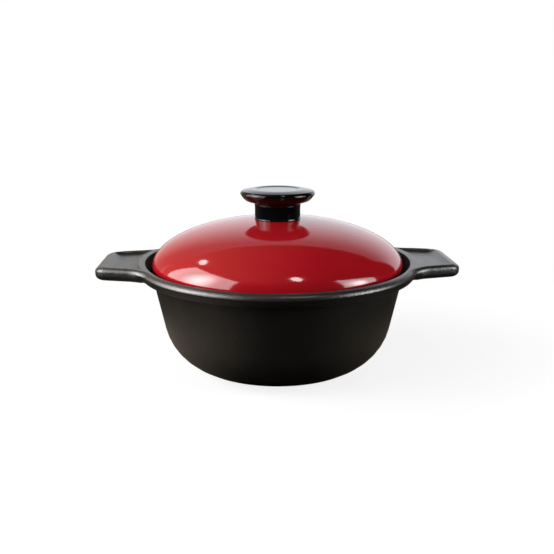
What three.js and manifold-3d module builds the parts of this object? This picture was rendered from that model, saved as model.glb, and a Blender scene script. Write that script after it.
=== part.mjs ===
// Cast iron casserole: a matt black pot with two cast-on handles and a stepped rim, and a red enamelled
// lid with a black moulded knob that is screwed on from below. Millimetres, +Z up; the origin is the
// middle of the flat base and the handles lie along X.
import * as THREE from "three";
import { mergeVertices } from "three/addons/utils/BufferGeometryUtils.js";
import Module from "manifold-3d";

const wasm = await Module();
wasm.setup();

// Pot: a drafted wall with a round heel and a thick rim
const POT_HEIGHT = 83;
const RIM_RADIUS = 106.5;
const RIM_TOP_WIDTH = 5.5;
const RIM_OUTER_ROUND = 4;
const RIM_INNER_ROUND = 0.9;
const LIP_HEIGHT = 9;
const LIP_TAPER = 2.5;
const LIP_UNDERSIDE_WIDTH = 8.1;
const LIP_LOWER_ROUND = 1.4;
const COVE_RADIUS = 4.5;
const WALL_DRAFT = 12.1;
const WALL_THICKNESS = 4.8;
const FLOOR_THICKNESS = 5;
const HEEL_RADIUS = 42.4;

// Seat that the lid drops into, inside the rim
const SEAT_DEPTH = 8;
const SEAT_FLARE = 5;
const SEAT_ROUND = 1;
const LEDGE_ROUND = 0.5;

// Handles: flat tapered tabs cast on to the rim, each with a sunk panel that gets shallower outwards
const HANDLE_REACH = 135.4;
const HANDLE_END_WIDTH = 64;
const HANDLE_TAPER = 14.2;
const HANDLE_THICKNESS = 7.7;
const HANDLE_EDGE_ROUND = 3;
const HANDLE_CORNER_RADIUS = 15;
const HANDLE_ROOT_RADIUS = 16;
const HANDLE_ROOT_SPREAD = 22;
const HANDLE_OVERLAP = 0.75;
const PANEL_DEPTH = 2.3;
const PANEL_END_DEPTH = 0.8;
const PANEL_MARGIN = 4.6;
const PANEL_RIM_BITE = 1.2;
const PANEL_CORNER_RADIUS = 10;
const PANEL_INNER_CORNER_RADIUS = 3.5;
const PANEL_WALL_RUN = 2.4;

// Lid: a dome of even thickness with a thicker edge that rounds in below the rim and stands on the ledge
const LID_CLEARANCE = 0.45;
const LID_SEAT_GAP = 0.1;
const LID_THICKNESS = 3.6;
const LID_EDGE_WIDTH = 5.3;
const LID_FOOT_BELOW_RIM = 0.6;
const LID_RISE = 33.1;
const LID_CROWN_REACH = 55.7;
const LID_SHOULDER_REACH = 16.7;
const LID_EDGE_SLOPE = 79.8;
const LID_EDGE_DROP = 1.6;
const LID_EDGE_ROUND = 2.5;
const LID_EDGE_TAPER = 2.2;
const LID_REST_ROUND = 0.8;
const LID_BORE_RADIUS = 3.3;

// Knob: a broad dished head on a waisted stem, cored out from below round a boss for the threaded bush
const KNOB_HEIGHT = 22.9;
const KNOB_RADIUS = 28.3;
const KNOB_EDGE_DROP = 1.6;
const KNOB_EDGE_SLOPE = 14;
const KNOB_EDGE_ROUND = 2.6;
const KNOB_CREST_RADIUS = 17.8;
const KNOB_CREST_ROUND = 5;
const KNOB_DISH_RADIUS = 15;
const KNOB_DISH_DEPTH = 0.7;
const KNOB_DISH_ROUND = 4;
const KNOB_UNDERSIDE_HEIGHT = 12.9;
const KNOB_BELLY_RADIUS = 24.2;
const KNOB_STEM_RADIUS = 17.1;
const KNOB_STEM_FILLET = 2.2;
const KNOB_WAIST_HEIGHT = 7.5;
const KNOB_WAIST_ROUND = 30;
const KNOB_FOOT_RADIUS = 18.3;
const KNOB_FOOT_ROUND = 0.7;
const KNOB_WALL = 4.4;
const KNOB_CORE_DEPTH = 10;
const KNOB_BOSS_RADIUS = 7.5;
const KNOB_PAD_MARGIN = 0.6;

// Screw, washers and threaded bush that hold the knob
const SCREW_RADIUS = 3;
const SCREW_HEAD_RADIUS = 5.6;
const SCREW_HEAD_HEIGHT = 3.4;
const SCREW_HEAD_ROUND = 1.8;
const SCREW_ENGAGEMENT = 9;
const SCREW_TIP_CHAMFER = 0.6;
const DRIVE_LENGTH = 5.4;
const DRIVE_WIDTH = 1.2;
const DRIVE_DEPTH = 1.9;
const FLAT_WASHER_RADIUS = 8;
const FLAT_WASHER_THICKNESS = 1.2;
const SPRING_WASHER_RADIUS = 5.4;
const SPRING_WASHER_THICKNESS = 1.5;
const SPRING_WASHER_SPLIT = 12;
const WASHER_BORE_GAP = 0.3;
const BUSH_RADIUS = 5;
const BUSH_LENGTH = 12;
const BUSH_GROOVE_WIDTH = 2.4;
const BUSH_GROOVE_DEPTH = 0.7;
const BUSH_GAP = 0.15;
const THREAD_GAP = 0.15;
const FACE_GAP = 0.05;

// Fineness of round forms, and how far a cutter runs past the face that it cuts
const POT_SEGMENTS = 64;
const KNOB_SEGMENTS = 36;
const SMALL_SEGMENTS = 20;
const CHORD_ERROR = 0.12;
const DOME_STEPS = 9;
const BEVEL_STEPS = 3;
const KNOB_CURVE_STEPS = 4;
const PANEL_ARC_STEPS = 5;
const HALVINGS = 40;
const MERGE_DISTANCE = 1e-4;
const CUT_CLEARANCE = 6;

const radians = THREE.MathUtils.degToRad;
const point = (x, y, round = 0) => ({ at: new THREE.Vector2(x, y), round });

// A run of corners as points, with each corner that has a round turned into a tangent arc.
function roundedRun(corners, closed = false) {
  const points = [];
  corners.forEach((corner, i) => {
    const last = corners.length - 1;
    const before = corners[i === 0 ? last : i - 1];
    const after = corners[i === last ? 0 : i + 1];
    const isEnd = !closed && (i === 0 || i === last);
    if (!corner.round || isEnd) {
      points.push(corner.at.clone());
      return;
    }
    const toBefore = before.at.clone().sub(corner.at);
    const toAfter = after.at.clone().sub(corner.at);
    const room = Math.min(
      toBefore.length() * (before.round ? 0.5 : 1),
      toAfter.length() * (after.round ? 0.5 : 1),
    );
    toBefore.normalize();
    toAfter.normalize();
    const half = Math.acos(THREE.MathUtils.clamp(toBefore.dot(toAfter), -1, 1)) / 2;
    const tangent = Math.min(corner.round / Math.tan(half), room);
    const radius = tangent * Math.tan(half);
    const middle = toBefore.clone().add(toAfter).normalize();
    const centre = middle.multiplyScalar(radius / Math.sin(half)).add(corner.at);
    const start = toBefore.clone().multiplyScalar(tangent).add(corner.at).sub(centre);
    const turn = Math.PI - 2 * half;
    const side = Math.sign(toAfter.cross(toBefore)) || 1;
    const step = 2 * Math.acos(Math.max(1 - CHORD_ERROR / radius, 0));
    const steps = Math.max(2, Math.ceil(turn / step));
    for (let k = 0; k <= steps; k += 1) {
      const spoke = start.clone().rotateAround(new THREE.Vector2(), (side * turn * k) / steps);
      points.push(spoke.add(centre));
    }
  });
  return points;
}

// A solid of revolution about Z from a profile of (radius, height) points, with its faces pointing out.
function revolve(profile, segments) {
  const points = [...profile];
  const onAxis = points[0].x === 0 && points[points.length - 1].x === 0;
  if (!onAxis) points.push(points[0].clone());
  if (THREE.ShapeUtils.area(points) < 0) points.reverse();
  return new THREE.LatheGeometry(points, segments).rotateX(Math.PI / 2);
}

// A plate of an outline in XY with rounded edges, from its lowest to its highest face.
function roundedPlate(outline, low, high, roundRun, roundRise) {
  const plate = new THREE.ExtrudeGeometry(new THREE.Shape(outline), {
    depth: high - low - 2 * roundRise,
    bevelThickness: roundRise,
    bevelSize: roundRun,
    bevelOffset: -roundRun,
    bevelSegments: BEVEL_STEPS,
  });
  return plate.translate(0, 0, low + roundRise);
}

function solidOf(geometry) {
  const bare = geometry.index ? geometry.toNonIndexed() : geometry.clone();
  bare.deleteAttribute("normal");
  bare.deleteAttribute("uv");
  const merged = mergeVertices(bare, MERGE_DISTANCE);
  return new wasm.Manifold(
    new wasm.Mesh({
      numProp: 3,
      vertProperties: new Float32Array(merged.attributes.position.array),
      triVerts: new Uint32Array(merged.index.array),
    }),
  );
}

function geometryOf(solid) {
  const { vertProperties, triVerts } = solid.getMesh();
  const geometry = new THREE.BufferGeometry();
  geometry.setAttribute("position", new THREE.BufferAttribute(vertProperties, 3));
  geometry.setIndex(new THREE.BufferAttribute(triVerts, 1));
  return geometry;
}

function piece(name, geometry, color, roughness, metalness) {
  geometry.computeVertexNormals();
  const mesh = new THREE.Mesh(geometry, new THREE.MeshStandardMaterial({ color, roughness, metalness }));
  mesh.name = name;
  return mesh;
}

// Places that the pot and the lid share
const ledgeHeight = POT_HEIGHT - SEAT_DEPTH;
const rimInnerRadius = RIM_RADIUS - RIM_TOP_WIDTH;
const seatRadius = rimInnerRadius - SEAT_FLARE;
const lidRadius = seatRadius - LID_CLEARANCE;
const lipHeight = POT_HEIGHT - LIP_HEIGHT;
const lipRadius = RIM_RADIUS - LIP_TAPER;
const wallTopRadius = lipRadius - LIP_UNDERSIDE_WIDTH;
const draftRun = Math.tan(radians(WALL_DRAFT));
const wallRadiusAt = (height) => wallTopRadius - draftRun * (lipHeight - height);
const innerWallRadiusAt = (height) => wallRadiusAt(height) - WALL_THICKNESS / Math.cos(radians(WALL_DRAFT));

// The pot's outside, filled up to the rim
function potBlock() {
  return revolve(
    roundedRun([
      point(0, 0),
      point(wallRadiusAt(0), 0, HEEL_RADIUS),
      point(wallTopRadius, lipHeight, COVE_RADIUS),
      point(lipRadius, lipHeight, LIP_LOWER_ROUND),
      point(RIM_RADIUS, POT_HEIGHT - RIM_OUTER_ROUND),
      point(RIM_RADIUS, POT_HEIGHT, RIM_OUTER_ROUND),
      point(0, POT_HEIGHT),
    ]),
    POT_SEGMENTS,
  );
}

// The space inside the pot, with the ledge and the sloped wall that the lid drops into
function potHollow() {
  const above = POT_HEIGHT + CUT_CLEARANCE;
  return revolve(
    roundedRun([
      point(0, FLOOR_THICKNESS),
      point(innerWallRadiusAt(FLOOR_THICKNESS), FLOOR_THICKNESS, HEEL_RADIUS - WALL_THICKNESS),
      point(innerWallRadiusAt(ledgeHeight), ledgeHeight, LEDGE_ROUND),
      point(seatRadius, ledgeHeight, SEAT_ROUND),
      point(rimInnerRadius, POT_HEIGHT, RIM_INNER_ROUND),
      point(RIM_RADIUS, POT_HEIGHT),
      point(RIM_RADIUS, above),
      point(0, above),
    ]),
    POT_SEGMENTS,
  );
}

// Half width of a handle at a distance from the axis, set in from its edge by a margin
function handleHalfWidth(x, margin) {
  const taper = radians(HANDLE_TAPER);
  return HANDLE_END_WIDTH / 2 + Math.tan(taper) * (HANDLE_REACH - x) - margin / Math.cos(taper);
}

// Where the handle's side, set in by a margin, crosses a circle about the axis
function sideCrossing(radius, margin) {
  const slope = Math.tan(radians(HANDLE_TAPER));
  const atAxis = handleHalfWidth(0, margin);
  const root = Math.sqrt(radius ** 2 * (1 + slope ** 2) - atAxis ** 2);
  const x = (slope * atAxis + root) / (1 + slope ** 2);
  return new THREE.Vector2(x, handleHalfWidth(x, margin));
}

// The outline runs from inside the rim, round a hollow root, along the tapered side and round the end
function handleOutline() {
  const rimFace = RIM_RADIUS - HANDLE_OVERLAP;
  const root = sideCrossing(rimFace, 0);
  const rootAngle = Math.atan2(root.y, root.x) + HANDLE_ROOT_SPREAD / rimFace;
  const inside = new THREE.Vector2(Math.cos(rootAngle), Math.sin(rootAngle)).multiplyScalar(rimFace);
  const side = [
    point(inside.x - RIM_TOP_WIDTH, inside.y),
    point(inside.x, inside.y),
    point(root.x, root.y, HANDLE_ROOT_RADIUS),
    point(HANDLE_REACH, handleHalfWidth(HANDLE_REACH, 0), HANDLE_CORNER_RADIUS),
  ];
  const mirrored = side.map((corner) => point(corner.at.x, -corner.at.y, corner.round)).reverse();
  return roundedRun([...side, ...mirrored], true);
}

// The sunk panel starts on the rim's outer edge, follows it, and keeps a margin from the handle's edges
function panelOutline() {
  const end = HANDLE_REACH - PANEL_MARGIN;
  const start = RIM_RADIUS - PANEL_RIM_BITE;
  const inner = sideCrossing(start, PANEL_MARGIN);
  const spread = Math.atan2(inner.y, inner.x);
  const alongRim = [];
  for (let k = 1; k < PANEL_ARC_STEPS; k += 1) {
    const angle = spread * (1 - (2 * k) / PANEL_ARC_STEPS);
    alongRim.push(point(start * Math.cos(angle), start * Math.sin(angle)));
  }
  const halfEnd = handleHalfWidth(end, PANEL_MARGIN);
  return roundedRun(
    [
      point(inner.x, -inner.y, PANEL_INNER_CORNER_RADIUS),
      point(end, -halfEnd, PANEL_CORNER_RADIUS),
      point(end, halfEnd, PANEL_CORNER_RADIUS),
      point(inner.x, inner.y, PANEL_INNER_CORNER_RADIUS),
      ...alongRim,
    ],
    true,
  );
}

function makePot() {
  const handleLow = POT_HEIGHT - HANDLE_THICKNESS;
  const handle = roundedPlate(handleOutline(), handleLow, POT_HEIGHT, HANDLE_EDGE_ROUND, HANDLE_EDGE_ROUND);
  const panelLow = POT_HEIGHT - PANEL_DEPTH;
  const panelHigh = POT_HEIGHT + CUT_CLEARANCE;
  const panel = roundedPlate(panelOutline(), panelLow, panelHigh, PANEL_WALL_RUN, PANEL_DEPTH);
  const panelLength = HANDLE_REACH - PANEL_MARGIN - RIM_RADIUS;
  const panelSlope = Math.atan((PANEL_DEPTH - PANEL_END_DEPTH) / panelLength);
  panel.translate(-RIM_RADIUS, 0, -panelLow).rotateY(-panelSlope).translate(RIM_RADIUS, 0, panelLow);
  let pot = solidOf(potBlock());
  for (const turn of [0, Math.PI]) {
    pot = pot.add(solidOf(handle.clone().rotateZ(turn)));
    pot = pot.subtract(solidOf(panel.clone().rotateZ(turn)));
  }
  pot = pot.subtract(solidOf(potHollow()));
  return piece("pot", geometryOf(pot), 0x1d1b1a, 0.55, 0.2);
}

// The dome's outer curve, from the axis to the top of the lid's edge
const domeFoot = POT_HEIGHT - LID_FOOT_BELOW_RIM;
const domeTop = domeFoot + LID_RISE;
const shoulder = new THREE.Vector2(-Math.cos(radians(LID_EDGE_SLOPE)), Math.sin(radians(LID_EDGE_SLOPE)));
const dome = new THREE.CubicBezierCurve(
  new THREE.Vector2(0, domeTop),
  new THREE.Vector2(LID_CROWN_REACH, domeTop),
  new THREE.Vector2(lidRadius, domeFoot).addScaledVector(shoulder, LID_SHOULDER_REACH),
  new THREE.Vector2(lidRadius, domeFoot),
);

// The share of the dome's curve at which it reaches a radius
function domeShareAt(radius) {
  let low = 0;
  let high = 1;
  for (let i = 0; i < HALVINGS; i += 1) {
    const middle = (low + high) / 2;
    if (dome.getPoint(middle).x < radius) low = middle;
    else high = middle;
  }
  return low;
}

// The knob stands on a flat pad on top of the dome, and its washers bear on a flat pad below
const padRadius = KNOB_FOOT_RADIUS + KNOB_PAD_MARGIN;
const padShare = domeShareAt(padRadius);
const padHeight = dome.getPoint(padShare).y;

function makeLid() {
  const outside = [];
  const inside = [];
  for (let k = 0; k <= DOME_STEPS; k += 1) {
    const share = padShare + ((1 - padShare) * k) / DOME_STEPS;
    const on = dome.getPoint(share);
    const along = dome.getTangent(share);
    outside.push(point(on.x, on.y));
    inside.push(point(on.x - LID_THICKNESS * -along.y, on.y - LID_THICKNESS * along.x));
  }
  const low = ledgeHeight + LID_SEAT_GAP;
  const ceiling = padHeight - LID_THICKNESS;
  const edgeSlope = radians(LID_EDGE_SLOPE);
  const edgeRadius = lidRadius + LID_EDGE_DROP / Math.tan(edgeSlope);
  const restRadius = edgeRadius - LID_EDGE_TAPER;
  const innerRadius = lidRadius - LID_EDGE_WIDTH;
  const profile = roundedRun(
    [
      point(LID_BORE_RADIUS, padHeight),
      ...outside,
      point(edgeRadius, domeFoot - LID_EDGE_DROP, LID_EDGE_ROUND),
      point(restRadius, low, LID_REST_ROUND),
      point(innerRadius, low, LID_REST_ROUND),
      ...inside.reverse().filter((corner) => corner.at.x < innerRadius && corner.at.y < ceiling),
      point(FLAT_WASHER_RADIUS + KNOB_PAD_MARGIN, ceiling),
      point(LID_BORE_RADIUS, ceiling),
    ],
    true,
  );
  return piece("lid", revolve(profile, POT_SEGMENTS), 0x9c0f16, 0.12, 0);
}

// The knob's head: a curve from the stem's fillet out to its round edge, and a slightly domed top
const knobEdge = new THREE.Vector2(KNOB_RADIUS, KNOB_HEIGHT - KNOB_EDGE_DROP);
const knobEdgeSlope = radians(KNOB_EDGE_SLOPE);
const knobEdgeRun = KNOB_EDGE_ROUND * Math.tan((Math.PI / 2 - knobEdgeSlope) / 2);
const underside = new THREE.QuadraticBezierCurve(
  new THREE.Vector2(KNOB_STEM_RADIUS + KNOB_STEM_FILLET, KNOB_UNDERSIDE_HEIGHT),
  new THREE.Vector2(KNOB_BELLY_RADIUS, KNOB_UNDERSIDE_HEIGHT),
  new THREE.Vector2(knobEdge.x, knobEdge.y - knobEdgeRun),
);
const headTop = new THREE.QuadraticBezierCurve(
  new THREE.Vector2(
    knobEdge.x - knobEdgeRun * Math.cos(knobEdgeSlope),
    knobEdge.y + knobEdgeRun * Math.sin(knobEdgeSlope),
  ),
  new THREE.Vector2(knobEdge.x - KNOB_EDGE_DROP / Math.tan(knobEdgeSlope), KNOB_HEIGHT),
  new THREE.Vector2(KNOB_CREST_RADIUS, KNOB_HEIGHT),
);
const alongCurve = (curve) => curve.getPoints(KNOB_CURVE_STEPS).map((p) => point(p.x, p.y));

function makeKnob() {
  const bushSeat = BUSH_RADIUS + BUSH_GAP;
  const bushRoof = BUSH_LENGTH + FACE_GAP + BUSH_GAP;
  const coreRadius = KNOB_STEM_RADIUS - KNOB_WALL;
  const profile = roundedRun([
    point(0, bushRoof),
    point(bushSeat, bushRoof),
    point(bushSeat, FACE_GAP),
    point(KNOB_BOSS_RADIUS, FACE_GAP),
    point(KNOB_BOSS_RADIUS, KNOB_CORE_DEPTH),
    point(coreRadius, KNOB_CORE_DEPTH),
    point(coreRadius, FACE_GAP),
    point(KNOB_FOOT_RADIUS, FACE_GAP, KNOB_FOOT_ROUND),
    point(KNOB_STEM_RADIUS, KNOB_WAIST_HEIGHT, KNOB_WAIST_ROUND),
    point(KNOB_STEM_RADIUS, KNOB_UNDERSIDE_HEIGHT, KNOB_STEM_FILLET),
    ...alongCurve(underside),
    point(knobEdge.x, knobEdge.y, KNOB_EDGE_ROUND),
    ...alongCurve(headTop).slice(0, -1),
    point(KNOB_CREST_RADIUS, KNOB_HEIGHT, KNOB_CREST_ROUND),
    point(KNOB_DISH_RADIUS, KNOB_HEIGHT - KNOB_DISH_DEPTH, KNOB_DISH_ROUND),
    point(0, KNOB_HEIGHT - KNOB_DISH_DEPTH),
  ]);
  return piece("knob", revolve(profile, KNOB_SEGMENTS), 0x0b0b0c, 0.18, 0);
}

// The bush is moulded into the knob's boss, and a groove between its two bands keeps it there
function makeBush() {
  const bore = SCREW_RADIUS + THREAD_GAP;
  const grooveLow = FACE_GAP + (BUSH_LENGTH - BUSH_GROOVE_WIDTH) / 2;
  const grooveHigh = grooveLow + BUSH_GROOVE_WIDTH;
  const profile = roundedRun(
    [
      point(bore, FACE_GAP),
      point(BUSH_RADIUS, FACE_GAP),
      point(BUSH_RADIUS, grooveLow),
      point(BUSH_RADIUS - BUSH_GROOVE_DEPTH, grooveLow),
      point(BUSH_RADIUS - BUSH_GROOVE_DEPTH, grooveHigh),
      point(BUSH_RADIUS, grooveHigh),
      point(BUSH_RADIUS, FACE_GAP + BUSH_LENGTH),
      point(bore, FACE_GAP + BUSH_LENGTH),
    ],
    true,
  );
  return piece("knob_bush", revolve(profile, SMALL_SEGMENTS), 0xb08d45, 0.35, 1);
}

// Heights below the pad of the pieces stacked under the lid
const flatWasherTop = -LID_THICKNESS - FACE_GAP;
const springWasherTop = flatWasherTop - FLAT_WASHER_THICKNESS - FACE_GAP;
const screwHeadTop = springWasherTop - SPRING_WASHER_THICKNESS - FACE_GAP;
const washerBore = SCREW_RADIUS + WASHER_BORE_GAP;

function makeFlatWasher() {
  const low = flatWasherTop - FLAT_WASHER_THICKNESS;
  const profile = [
    new THREE.Vector2(washerBore, low),
    new THREE.Vector2(FLAT_WASHER_RADIUS, low),
    new THREE.Vector2(FLAT_WASHER_RADIUS, flatWasherTop),
    new THREE.Vector2(washerBore, flatWasherTop),
  ];
  return piece("flat_washer", revolve(profile, SMALL_SEGMENTS), 0xb9babb, 0.3, 1);
}

// A split ring, pressed flat by the screw
function makeSpringWasher() {
  const half = radians(SPRING_WASHER_SPLIT) / 2;
  const ring = new THREE.Shape();
  ring.absarc(0, 0, SPRING_WASHER_RADIUS, half, 2 * Math.PI - half, false);
  ring.absarc(0, 0, washerBore, 2 * Math.PI - half, half, true);
  const geometry = new THREE.ExtrudeGeometry(ring, {
    depth: SPRING_WASHER_THICKNESS,
    bevelEnabled: false,
    curveSegments: SMALL_SEGMENTS,
  });
  geometry.translate(0, 0, springWasherTop - SPRING_WASHER_THICKNESS);
  return piece("spring_washer", geometry, 0x9c9da0, 0.35, 1);
}

// Pan head screw with a cross recess, driven upwards through the lid into the bush
function makeScrew() {
  const headLow = screwHeadTop - SCREW_HEAD_HEIGHT;
  const tip = FACE_GAP + SCREW_ENGAGEMENT;
  const blank = revolve(
    roundedRun([
      point(0, headLow),
      point(SCREW_HEAD_RADIUS, headLow, SCREW_HEAD_ROUND),
      point(SCREW_HEAD_RADIUS, screwHeadTop),
      point(SCREW_RADIUS, screwHeadTop),
      point(SCREW_RADIUS, tip - SCREW_TIP_CHAMFER),
      point(SCREW_RADIUS - SCREW_TIP_CHAMFER, tip),
      point(0, tip),
    ]),
    SMALL_SEGMENTS,
  );
  let screw = solidOf(blank);
  for (const turn of [0, Math.PI / 2]) {
    const slot = new THREE.BoxGeometry(DRIVE_LENGTH, DRIVE_WIDTH, 2 * DRIVE_DEPTH);
    screw = screw.subtract(solidOf(slot.rotateZ(turn).translate(0, 0, headLow)));
  }
  return piece("knob_screw", geometryOf(screw), 0xc4c5c7, 0.28, 1);
}

const knobSet = new THREE.Group();
knobSet.add(makeKnob(), makeBush(), makeScrew(), makeSpringWasher(), makeFlatWasher());
knobSet.position.z = padHeight;

const lidSet = new THREE.Group();
lidSet.add(makeLid(), knobSet);

const casserole = new THREE.Group();
casserole.add(makePot(), lidSet);

export default casserole;
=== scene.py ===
import math

import bmesh
import bpy
import numpy as np
from mathutils import Matrix, Vector


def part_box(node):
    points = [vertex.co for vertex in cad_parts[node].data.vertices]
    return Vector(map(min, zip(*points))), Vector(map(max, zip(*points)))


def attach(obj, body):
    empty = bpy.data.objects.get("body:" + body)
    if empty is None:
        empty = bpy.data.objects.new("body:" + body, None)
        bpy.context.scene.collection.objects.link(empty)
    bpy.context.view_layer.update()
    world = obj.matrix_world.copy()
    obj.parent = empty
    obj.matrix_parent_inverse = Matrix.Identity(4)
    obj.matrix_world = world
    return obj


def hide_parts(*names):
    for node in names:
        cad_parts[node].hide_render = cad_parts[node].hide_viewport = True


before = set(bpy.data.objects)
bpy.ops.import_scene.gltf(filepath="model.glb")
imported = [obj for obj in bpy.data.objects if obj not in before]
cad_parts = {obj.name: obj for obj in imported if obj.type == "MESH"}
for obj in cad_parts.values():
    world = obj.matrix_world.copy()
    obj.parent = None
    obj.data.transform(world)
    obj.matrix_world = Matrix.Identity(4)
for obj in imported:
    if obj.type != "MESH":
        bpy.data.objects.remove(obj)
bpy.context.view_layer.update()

MM = 0.001

# Sizes in millimetres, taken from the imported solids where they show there
pot_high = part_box("pot")[1] / MM
HANDLE_REACH = pot_high.x
RIM_RADIUS = pot_high.y
POT_HEIGHT = pot_high.z
KNOB_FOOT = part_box("knob")[0].z / MM
LID_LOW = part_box("lid")[0].z / MM

# Pot
RIM_TOP_WIDTH = 5.5
RIM_OUTER_ROUND = 4.0
RIM_INNER_ROUND = 0.9
LIP_HEIGHT = 9.0
LIP_TAPER = 2.5
LIP_UNDERSIDE_WIDTH = 8.1
LIP_LOWER_ROUND = 1.4
COVE_RADIUS = 4.5
WALL_DRAFT = math.radians(12.1)
WALL_THICKNESS = 4.8
FLOOR_THICKNESS = 5.0
HEEL_RADIUS = 42.4
SEAT_DEPTH = 8.0
SEAT_FLARE = 5.0
SEAT_ROUND = 1.0
LEDGE_ROUND = 0.5

# Handles
HANDLE_END_WIDTH = 59.0
HANDLE_TAPER = math.radians(14.2)
HANDLE_THICKNESS = 8.5
HANDLE_EDGE_ROUND = 3.6
HANDLE_LOWER_ROUND = 4.0
HANDLE_TIP_RUN = 7.0
HANDLE_CORNER_RADIUS = 10.0
HANDLE_ROOT_RADIUS = 24.0
HANDLE_RISE = 1.3
HANDLE_RISE_START = 80.0
HANDLE_RISE_RUN = 34.0
HANDLE_ROOT_BLEND = 5.0
PANEL_DEPTH = 2.4
PANEL_MARGIN = 3.7
PANEL_END_MARGIN = 6.6
PANEL_RIM_BITE = 1.2
PANEL_SIDE_RUN = 5.0
PANEL_END_RUN = 7.5
PANEL_RIM_RUN = 9.0
PANEL_CREST_RUN = 0.8
# How steeply the panel's walls start, as powers: the sides' walls are the steepest
PANEL_SIDE_POWER = 3
PANEL_END_POWER = 2
# Shares of the lip's upright face that turn into the handle's underside and into its lower edge
LIP_UNDERSIDE_SHARE = 0.5
LIP_EDGE_SHARE = 0.4

# Lid
LID_CLEARANCE = 0.45
LID_THICKNESS = 3.6
LID_EDGE_WIDTH = 5.3
LID_FOOT_BELOW_RIM = 0.6
LID_RISE = 33.1
LID_CROWN_REACH = 55.7
LID_SHOULDER_REACH = 16.7
LID_EDGE_SLOPE = math.radians(79.8)
LID_EDGE_DROP = 1.6
LID_EDGE_ROUND = 2.5
LID_EDGE_TAPER = 2.2
LID_REST_ROUND = 0.8
LID_BORE_RADIUS = 3.3
LID_PAD_RADIUS = 18.9

# Knob, with heights above its foot
KNOB_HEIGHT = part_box("knob")[1].z / MM - KNOB_FOOT
KNOB_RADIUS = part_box("knob")[1].x / MM
KNOB_EDGE_DROP = 1.6
KNOB_EDGE_SLOPE = math.radians(14)
KNOB_EDGE_ROUND = 2.6
KNOB_CREST_RADIUS = 17.8
KNOB_CREST_ROUND = 5.0
KNOB_DISH_RADIUS = 15.0
KNOB_DISH_DEPTH = 0.7
KNOB_DISH_ROUND = 4.0
KNOB_UNDERSIDE_HEIGHT = 13.6
KNOB_BELLY_RADIUS = 24.8
KNOB_STEM_RADIUS = 17.5
KNOB_STEM_FILLET = 4.8
KNOB_WAIST_RADIUS = 17.2
KNOB_WAIST_HEIGHT = 7.45
KNOB_WAIST_ROUND = 40.0
KNOB_FOOT_RADIUS = 17.6
KNOB_FOOT_ROUND = 0.5
KNOB_FLARE_RADIUS = 17.3
KNOB_FLARE_HEIGHT = 1.0
KNOB_FLARE_ROUND = 3.0
KNOB_CORE_RADIUS = 12.7
KNOB_CORE_DEPTH = 9.95
KNOB_BOSS_RADIUS = 7.5
KNOB_BUSH_SEAT_RADIUS = 5.15
KNOB_BUSH_SEAT_DEPTH = 12.15
KNOB_CORE_ROUND = 0.5

# Screw, washers and bush
SCREW_RADIUS = 3.0
SCREW_HEAD_HEIGHT = 3.4
SCREW_HEAD_ROUND = 1.8
SCREW_TIP_CHAMFER = 0.6
DRIVE_LENGTH = 5.4
DRIVE_WIDTH = 1.2
DRIVE_DEPTH = 1.9
WASHER_BORE = 3.3
SPRING_WASHER_SPLIT = math.radians(12)
BUSH_BORE = 3.15
BUSH_GROOVE_WIDTH = 2.4
BUSH_GROOVE_DEPTH = 0.7
SMALL_ROUND = 0.15

# What follows from these sizes
LIP_Z = POT_HEIGHT - LIP_HEIGHT
LIP_RADIUS = RIM_RADIUS - LIP_TAPER
WALL_TOP = LIP_RADIUS - LIP_UNDERSIDE_WIDTH
RIM_INNER = RIM_RADIUS - RIM_TOP_WIDTH
LEDGE_Z = POT_HEIGHT - SEAT_DEPTH
HANDLE_LOW = POT_HEIGHT - HANDLE_THICKNESS
SIDE_NORMAL = np.array([math.sin(HANDLE_TAPER), math.cos(HANDLE_TAPER)])
SIDE_REACH = SIDE_NORMAL @ [HANDLE_REACH, HANDLE_END_WIDTH / 2]
LID_RADIUS = RIM_INNER - SEAT_FLARE - LID_CLEARANCE
LID_FOOT = POT_HEIGHT - LID_FOOT_BELOW_RIM

# How finely the meshes are drawn: steps along a curve, and columns round the axis
POT_ARC_STEPS = 9
INSIDE_ARC_STEPS = 7
FACE_STEPS = 6
EDGE_STEPS = 9
TOP_STEPS = 64
DOME_STEPS = 56
DOME_SAMPLES = 400
LID_ARC_STEPS = 10
LID_COLUMNS = 192
KNOB_CURVE_STEPS = 14
KNOB_ARC_STEPS = 8
KNOB_COLUMNS = 144
SCREW_ARC_STEPS = 6
SMALL_ARC_STEPS = 3
SMALL_COLUMNS = 64
WASHER_COLUMNS = 96
SPLIT_WASHER_COLUMNS = 80
# Start, end and step in degrees of the pot's columns in a quarter turn: closest at the handles' corners
POT_COLUMN_RUNS = ((0, 8, 0.5), (8, 18, 0.2), (18, 35, 0.25), (35, 90, 55 / 32))
# Edges sharper than this stay sharp in a smooth surface
SHARP_ANGLE = math.radians(50)

# Sockets of a Mix node: its two numbers, its two colours and the mixed colour
NUMBER_A = 2
NUMBER_B = 3
COLOUR_A = 6
COLOUR_B = 7
MIXED_COLOUR = 2


def linear(code):
    """An sRGB hex colour as linear red, green, blue and alpha."""
    shares = [int(code[i:i + 2], 16) / 255 for i in (1, 3, 5)]
    return [s / 12.92 if s <= 0.04045 else ((s + 0.055) / 1.055) ** 2.4 for s in shares] + [1.0]


def add(tree, kind, inputs=None, **settings):
    """A node with its settings, and each input set to a value or linked to another node's output."""
    made = tree.nodes.new("ShaderNode" + kind)
    for name, value in settings.items():
        setattr(made, name, value)
    for name, value in (inputs or {}).items():
        if isinstance(value, bpy.types.NodeSocket):
            tree.links.new(value, made.inputs[name])
        else:
            made.inputs[name].default_value = value
    return made


def new_material(name):
    """An empty material and its node tree."""
    material = bpy.data.materials.new(name)
    material.use_nodes = True
    material.node_tree.nodes.clear()
    return material, material.node_tree


# Mesh forms
def eased(share):
    """A share held between 0 and 1, with a soft start and a soft end."""
    share = min(max(share, 0), 1)
    return share * share * (3 - 2 * share)


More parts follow.
